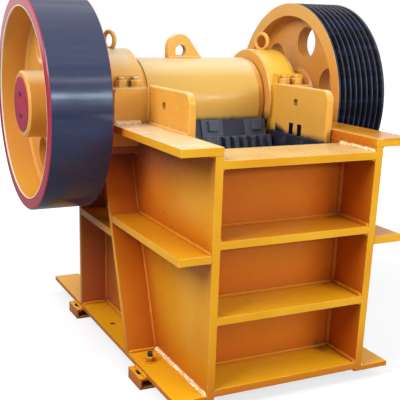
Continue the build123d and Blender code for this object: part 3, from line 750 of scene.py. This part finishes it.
UP, DOWN = (0, 0, 1), (0, 0, -1)
AHEAD, BEHIND = (0, -1, 0), (0, 1, 0)


def rib_depth(z):
    """Depth of the inclined rib's front face at a height."""
    return RIB_FOOT + RIB_SLOPE * (z - BASE_TOP)


def side_welds(side, name):
    """Beads that join the flanges, ribs, feet, guard and pedestal to one side plate."""
    shape = bmesh.new()
    bright = bmesh.new()
    upper = bmesh.new()
    out, back = (side, 0, 0), (-side, 0, 0)
    x = side * X_OUTER
    tip = side * X_FLANGE
    near_tip = tip - side * WELD_END
    rear_rib_back = REAR_RIB + REAR_RIB_T
    mid_under = MID_FLANGE - FLANGE_T
    rear_under = REAR_FLANGE - FLANGE_T

    def along(beads, across, depths, z, faces, leg=WELD_LEG):
        weld_bead(beads, (across, y_at(depths[0]), z), (across, y_at(depths[1]), z), *faces, leg)

    def upright(beads, across, depths, heights, faces, leg=WELD_LEG):
        low, high = heights
        weld_bead(beads, (across, y_at(depths[0]), low), (across, y_at(depths[1]), high), *faces, leg)

    def outward(beads, depth, z, end, faces, leg=WELD_LEG):
        weld_bead(beads, (x, y_at(depth), z), (end, y_at(depth), z), *faces, leg)

    along(bright, x, (WELD_END, RIB_FOOT), BASE_TOP, (out, UP), 0.015)
    along(shape, x, (RIB_FOOT + RIB_T, REAR_RIB), BASE_TOP, (out, UP))
    along(shape, x, (rear_rib_back, REAR_EDGE), BASE_TOP, (out, UP))
    along(shape, x, (WELD_END, rib_depth(MID_FLANGE)), MID_FLANGE, (out, UP))
    along(shape, x, (WELD_END, rib_depth(mid_under)), mid_under, (out, DOWN))
    along(shape, x, (rib_depth(REAR_FLANGE) + RIB_T, REAR_RIB), REAR_FLANGE, (out, UP))
    along(shape, x, (WELD_END, TOP_FLANGE_END), SIDE_TOP, (out, DOWN))
    along(shape, x, REAR_TOP_FLANGE, RIB_TOP, (out, DOWN))

    lean = math.hypot(1.0, RIB_SLOPE)
    rib_ahead = (0, -1 / lean, RIB_SLOPE / lean)
    rib_behind = (0, 1 / lean, -RIB_SLOPE / lean)
    back_runs = ((BASE_TOP, rear_under), (REAR_FLANGE, RIB_TOP))
    for run in ((BASE_TOP, mid_under), (MID_FLANGE, RIB_TOP)):
        upright(shape, x, [rib_depth(z) for z in run], run, (out, rib_ahead))
    for run in back_runs:
        upright(shape, x, [rib_depth(z) + RIB_T for z in run], run, (out, rib_behind))
    outward(shape, RIB_FOOT, BASE_TOP, near_tip, (AHEAD, UP))
    for run in back_runs:
        upright(shape, x, (REAR_RIB, REAR_RIB), run, (out, AHEAD))
    upright(shape, x, (rear_rib_back, rear_rib_back), (BASE_TOP, RIB_TOP), (out, BEHIND))
    for depth, face in ((REAR_RIB, AHEAD), (rear_rib_back, BEHIND)):
        outward(shape, depth, BASE_TOP, near_tip, (face, UP))
    for depth in FOOT_DEPTHS:
        along(shape, tip, (depth - FOOT_HALF, depth + FOOT_HALF), FOOT_WELD_Z, (out, UP), 0.009)

    plate = side * X_INNER
    corner = (PEDESTAL_FRONT, PEDESTAL_FRONT)
    outward(bright, PEDESTAL_FRONT, TOP_FLANGE, side * PEDESTAL_TIP, (AHEAD, UP), 0.017)
    upright(upper, plate, corner, (TOP_FLANGE, PEDESTAL_TOP), (out, AHEAD), UPPER_LEG)
    along(upper, plate, (0.304, PEDESTAL_FRONT - WELD_END), TOP_FLANGE, (out, UP), UPPER_LEG)
    along(bright, plate, (WELD_END, 0.240), SHELF_TOPS[3], (back, UP), 0.012)
    add_piece(f"welds_{name}", shape, "frame", WELD)
    add_piece(f"welds_bright_{name}", bright, "frame", BRIGHT_WELD)
    add_piece(f"welds_upper_{name}", upper, "frame", UPPER_WELD)


def front_welds():
    """Beads round the bays in front of the front wall."""
    shape = bmesh.new()
    wall, front = y_at(RECESS), y_at(0.003)
    for index, top in enumerate(SHELF_TOPS[:3]):
        under = SHELF_TOPS[index + 1] - FLANGE_T
        weld_bead(shape, (-X_INNER, wall, top), (X_INNER, wall, top), AHEAD, UP)
        weld_bead(shape, (-X_INNER, wall, under), (X_INNER, wall, under), AHEAD, DOWN)
        for side, _ in SIDES:
            plate, into = side * X_INNER, (-side, 0, 0)
            weld_bead(shape, (plate, wall, top), (plate, wall, under), into, AHEAD, BAY_LEG)
            weld_bead(shape, (plate, front, top), (plate, wall, top), into, UP, BAY_LEG)
            weld_bead(shape, (plate, front, under), (plate, wall, under), into, DOWN, BAY_LEG)
    add_piece("welds_front", shape, "frame", WELD)


def rear_welds():
    """Beads round the bays behind the rear wall."""
    shape = bmesh.new()
    wall, edge = y_at(REAR_WALL), y_at(REAR_EDGE)
    for low, high in REAR_BAYS:
        for z, face in ((low, UP), (high, DOWN)):
            weld_bead(shape, (-X_INNER, wall, z), (X_INNER, wall, z), BEHIND, face)
            for side, _ in SIDES:
                plate = side * X_INNER
                weld_bead(shape, (plate, wall, z), (plate, edge, z), (-side, 0, 0), face)
        for side, _ in SIDES:
            plate = side * X_INNER
            weld_bead(shape, (plate, wall, low), (plate, wall, high), (-side, 0, 0), BEHIND)
    add_piece("welds_rear", shape, "frame", WELD)


def eye_welds():
    """Beads along both sides of the barrel eye's foot."""
    shape = bmesh.new()
    low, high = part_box("barrel_eye")
    half = (high[1] - low[1]) / 2
    z = AXIS.z + math.sqrt(BARREL_R ** 2 - half ** 2)
    for face, turn in ((AHEAD, -1), (BEHIND, 1)):
        y = AXIS.y + turn * half
        weld_bead(shape, (low[0] + WELD_END, y, z), (high[0] - WELD_END, y, z), face, UP, 0.010)
    add_piece("welds_eye", shape, "swing_jaw", UPPER_WELD)


for side, name in SIDES:
    side_welds(side, name)
front_welds()
rear_welds()
eye_welds()


# Nuts, studs, bolts and trim
LEVEL = Matrix.Identity(3)
THREAD_PITCH = 0.003
WASHER_T = 0.0055
SUNK = 0.001
ROUND_SIDES = 96


def sideways(side):
    """The turn from upright to pointing out of one side."""
    return Matrix.Rotation(side * math.pi / 2, 3, "Y")


def circle(place, turn, radius, height, count, start=0.0):
    """Points of a circle at a height along the turned axis through a place."""
    points = []
    for i in range(count):
        angle = start + 2 * math.pi * i / count
        point = Vector((radius * math.cos(angle), radius * math.sin(angle), height))
        points.append(place + turn @ point)
    return points


def turned(shape, place, turn, profile, count, start=0.0):
    """A body of revolution, or a prism with few sides, from (radius, height) pairs."""
    close_rings(shape, [circle(place, turn, *pair, count, start) for pair in profile])


def washer(shape, place, radius):
    """A flat washer with a small chamfer."""
    profile = ((radius, 0.0), (radius, WASHER_T - 0.0015), (radius - 0.0015, WASHER_T))
    turned(shape, place, LEVEL, profile, 28)


def lifted(place, height):
    """A place moved up."""
    return place + Vector((0, 0, height))


def hexagon(shape, place, turn, across, height, start=0.0):
    """A hexagon nut or bolt head with chamfered corners."""
    corner = across / math.sqrt(3)
    edge = 0.10 * across
    profile = (
        (0.90 * corner, 0.0), (corner, 0.4 * edge), (corner, height - 0.7 * edge), (0.86 * corner, height),
        (0.60 * corner, height),
    )
    turned(shape, place, turn, profile, 6, start)


def threaded(shape, place, radius, height):
    """An upright stud end with rolled thread and a rounded tip."""
    profile = [(0.93 * radius, 0.0)]
    for i in range(int(height / THREAD_PITCH)):
        base = i * THREAD_PITCH
        profile += [(0.90 * radius, base + 0.25 * THREAD_PITCH), (radius, base + 0.75 * THREAD_PITCH)]
    profile += [(0.86 * radius, height), (0.45 * radius, height + 0.25 * radius)]
    turned(shape, place, LEVEL, profile, 20)


def cap_nuts():
    """Nuts on the studs that hold the bearing caps down."""
    shape = bmesh.new()
    for side, _ in SIDES:
        for index, (x, depth) in enumerate(CAP_STUDS):
            place = Vector((side * x, y_at(depth), CAP_LUG - SUNK))
            washer(shape, place, 0.028)
            hexagon(shape, lifted(place, 0.005), LEVEL, 0.044, 0.026, 0.35 + 0.5 * index)
            threaded(shape, lifted(place, 0.030), 0.014, 0.012)
    edge_soft(add_piece("cap_nuts", shape, "frame", UPPER))


def anchor_bolts():
    """The foundation studs that stand in the front holes of the base flanges."""
    shape = bmesh.new()
    studs = bmesh.new()
    for side, _ in SIDES:
        place = Vector((side * ANCHOR[0], y_at(ANCHOR[1]), BASE_TOP - SUNK))
        washer(shape, place, 0.026)
        hexagon(shape, lifted(place, 0.005), LEVEL, 0.038, 0.021, 0.4)
        threaded(studs, lifted(place, 0.025), 0.0118, 0.021)
    edge_soft(add_piece("anchor_nuts", shape, "frame", PAINT))
    add_piece("anchor_studs", studs, "frame", CAST)


def hub_caps():
    """Round end plates on the hubs, each with two bolt heads and washers."""
    plates = bmesh.new()
    bolts = bmesh.new()
    edge = ((0.117, -SUNK), (0.121, -SUNK), (0.121, 0.0022), (0.1203, 0.0034), (0.1188, 0.0040))
    bolt_washer = ((0.0165, 0.0), (0.0165, 0.0012), (0.0155, 0.0020))
    for side, _ in SIDES:
        turn = sideways(side)
        centre = Vector((side * HUB_FACE, AXIS.y, AXIS.z))
        turned(plates, centre, turn, edge, ROUND_SIDES)
        for rise in (-0.048, 0.048):
            place = centre + Vector((side * 0.0035, 0, rise))
            turned(bolts, place, turn, bolt_washer, 24)
            hexagon(bolts, place + Vector((side * 0.002, 0, 0)), turn, 0.022, 0.0043, 0.2)
    piece = add_piece("hub_cap_plates", plates, "rotor", RED)
    edge_soft(piece)
    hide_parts("hub_caps")
    edge_soft(add_piece("hub_bolts", bolts, "rotor", BOLT))


def block(shape, low, high):
    """A plain box between two corners."""
    corners = ((low[0], low[1]), (high[0], low[1]), (high[0], high[1]), (low[0], high[1]))
    close_rings(shape, [[(x, y, z) for x, y in corners] for z in (low[2], high[2])])


def filled_seams():
    """Ground joints, level with the front edges, where the shelves meet the side plates."""
    shape = bmesh.new()
    half, inset = 0.0035, 0.0024
    for side, _ in SIDES:
        for top in SHELF_TOPS:
            block(
                shape,
                (side * X_INNER - half, y_at(0.0002), top - FLANGE_T + inset),
                (side * X_INNER + half, y_at(0.0060), top - inset),
            )
    edge_soft(add_piece("filled_seams", shape, "frame", PAINT))


def notch_covers():
    """Plates that close the left guard's notches, which do not show from outside."""
    shape = bmesh.new()
    half = 0.0175
    low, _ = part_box("guard_plate_left")
    for depth in GUARD_NOTCHES:
        block(
            shape,
            (-X_INNER + 0.0004, y_at(depth) - half, low[2] + 0.002),
            (-X_INNER + 0.0100, y_at(depth) + half, low[2] + 0.0525),
        )
    edge_soft(add_piece("notch_covers", shape, "frame", GUARD))


def barrel_lips():
    """Raised rims on the barrel's end covers, just clear of the bearings."""
    shape = bmesh.new()
    profile = ((0.150, 0.287), (0.197, 0.287), (0.197, 0.3145), (0.195, 0.3165), (0.150, 0.3165))
    centre = Vector((0, AXIS.y, AXIS.z))
    for side, _ in SIDES:
        loops = []
        for pair in profile:
            points = circle(centre, sideways(side), *pair, ROUND_SIDES)
            loops.append([shape.verts.new(point) for point in points])
        skin(shape, loops + loops[:1])
    edge_soft(add_piece("barrel_lips", shape, "swing_jaw", LIP))


cap_nuts()
anchor_bolts()
hub_caps()
barrel_lips()
filled_seams()
notch_covers()


# Floor, light and camera
FLOOR_HALF = 30.0
WORLD_LIGHT = 0.22
WINDOW_COUNT = 4
WINDOW_START, WINDOW_PITCH, WINDOW_Y = -0.9, 1.35, -6.0
WINDOW_TARGET = (-0.6, 0.0, 1.1)
# Rows of window light: name, height, size, watts and colour
WINDOW_ROWS = (
    ("window", 2.52, (1.1, 0.5), 38, (0.68, 0.86, 1.0)),
    ("sill", 1.78, (0.8, 0.2), 4, (0.75, 0.85, 1.0)),
    ("lintel", 4.5, (1.2, 0.22), 9, (1.0, 0.95, 0.88)),
)
CAMERA_PLACE = (-1.6369, -3.1851, 1.4713)
CAMERA_YAW, CAMERA_PITCH, CAMERA_ROLL = 24.8415, 17.2293, 1.2539
CAMERA_LENS = 67.995
CAMERA_SENSOR = 36.0
CAMERA_SHIFT = (0.0718, 0.1437)


def make_floor():
    mesh = bpy.data.meshes.new("floor")
    turns = ((-1, -1), (1, -1), (1, 1), (-1, 1))
    mesh.from_pydata([(x * FLOOR_HALF, y * FLOOR_HALF, 0) for x, y in turns], [], [(0, 1, 2, 3)])
    floor = bpy.data.objects.new("floor", mesh)
    bpy.context.scene.collection.objects.link(floor)
    mesh.materials.append(floor_paint())


def area_light(name, place, target, size, watts, colour=WHITE, mirrored=True):
    """A rectangle of light that the camera does not see."""
    data = bpy.data.lights.new(name, "AREA")
    data.shape = "RECTANGLE"
    data.size, data.size_y = size
    data.energy = watts
    data.color = colour
    lamp = bpy.data.objects.new(name, data)
    bpy.context.scene.collection.objects.link(lamp)
    lamp.location = place
    lamp.rotation_euler = (Vector(target) - Vector(place)).to_track_quat("-Z", "Y").to_euler()
    lamp.visible_camera = False
    lamp.visible_glossy = mirrored


def make_world():
    """White where it is seen or mirrored, softer where it only lights."""
    world = bpy.data.worlds.new("studio")
    bpy.context.scene.world = world
    world.use_nodes = True
    tree = world.node_tree
    path = tree.nodes.new("ShaderNodeLightPath").outputs
    strength = tree.nodes.new("ShaderNodeValue").outputs[0]
    strength.default_value = WORLD_LIGHT
    for ray in ("Is Camera Ray", "Is Transmission Ray", "Is Glossy Ray"):
        brighter = tree.nodes.new("ShaderNodeMath")
        brighter.operation = "MAXIMUM"
        tree.links.new(path[ray], brighter.inputs[0])
        tree.links.new(strength, brighter.inputs[1])
        strength = brighter.outputs[0]
    background = tree.nodes["Background"]
    background.inputs["Color"].default_value = (*WHITE, 1.0)
    tree.links.new(strength, background.inputs["Strength"])


make_world()
make_floor()
area_light("overhead", (0.0, -0.4, 4.6), (0.0, -0.2, 0.8), (6.0, 6.0), 74, (0.94, 0.97, 1.0))
area_light("left", (-3.6, -1.4, 3.5), (-0.4, -0.4, 0.6), (2.4, 2.4), 185)
area_light("behind", (1.6, 5.6, 3.4), (0.0, 0.6, 0.7), (3.0, 2.0), 130, mirrored=False)
area_light("front", (2.6, -5.0, 2.4), (0.0, -0.8, 0.6), (2.4, 1.8), 92, mirrored=False)
for index in range(WINDOW_COUNT):
    window_x = WINDOW_START + WINDOW_PITCH * index
    for row, height, size, watts, colour in WINDOW_ROWS:
        area_light(f"{row}_{index}", (window_x, WINDOW_Y, height), WINDOW_TARGET, size, watts, colour)


def make_camera():
    """The camera fitted to the photo."""
    yaw, pitch, roll = (math.radians(angle) for angle in (CAMERA_YAW, CAMERA_PITCH, CAMERA_ROLL))
    ahead = Vector((
        math.sin(yaw) * math.cos(pitch), math.cos(yaw) * math.cos(pitch), -math.sin(pitch)
    ))
    level = Vector((math.cos(yaw), -math.sin(yaw), 0.0))
    raised = level.cross(ahead)
    right = math.cos(roll) * level + math.sin(roll) * raised
    up = math.cos(roll) * raised - math.sin(roll) * level
    data = bpy.data.cameras.new("camera")
    data.sensor_width = CAMERA_SENSOR
    data.lens = CAMERA_LENS
    data.shift_x, data.shift_y = CAMERA_SHIFT
    camera = bpy.data.objects.new("camera", data)
    bpy.context.scene.collection.objects.link(camera)
    turn = Matrix((right, up, -ahead)).transposed()
    camera.matrix_world = Matrix.Translation(CAMERA_PLACE) @ turn.to_4x4()
    bpy.context.scene.camera = camera


make_camera()
bpy.context.scene.view_settings.view_transform = "Standard"
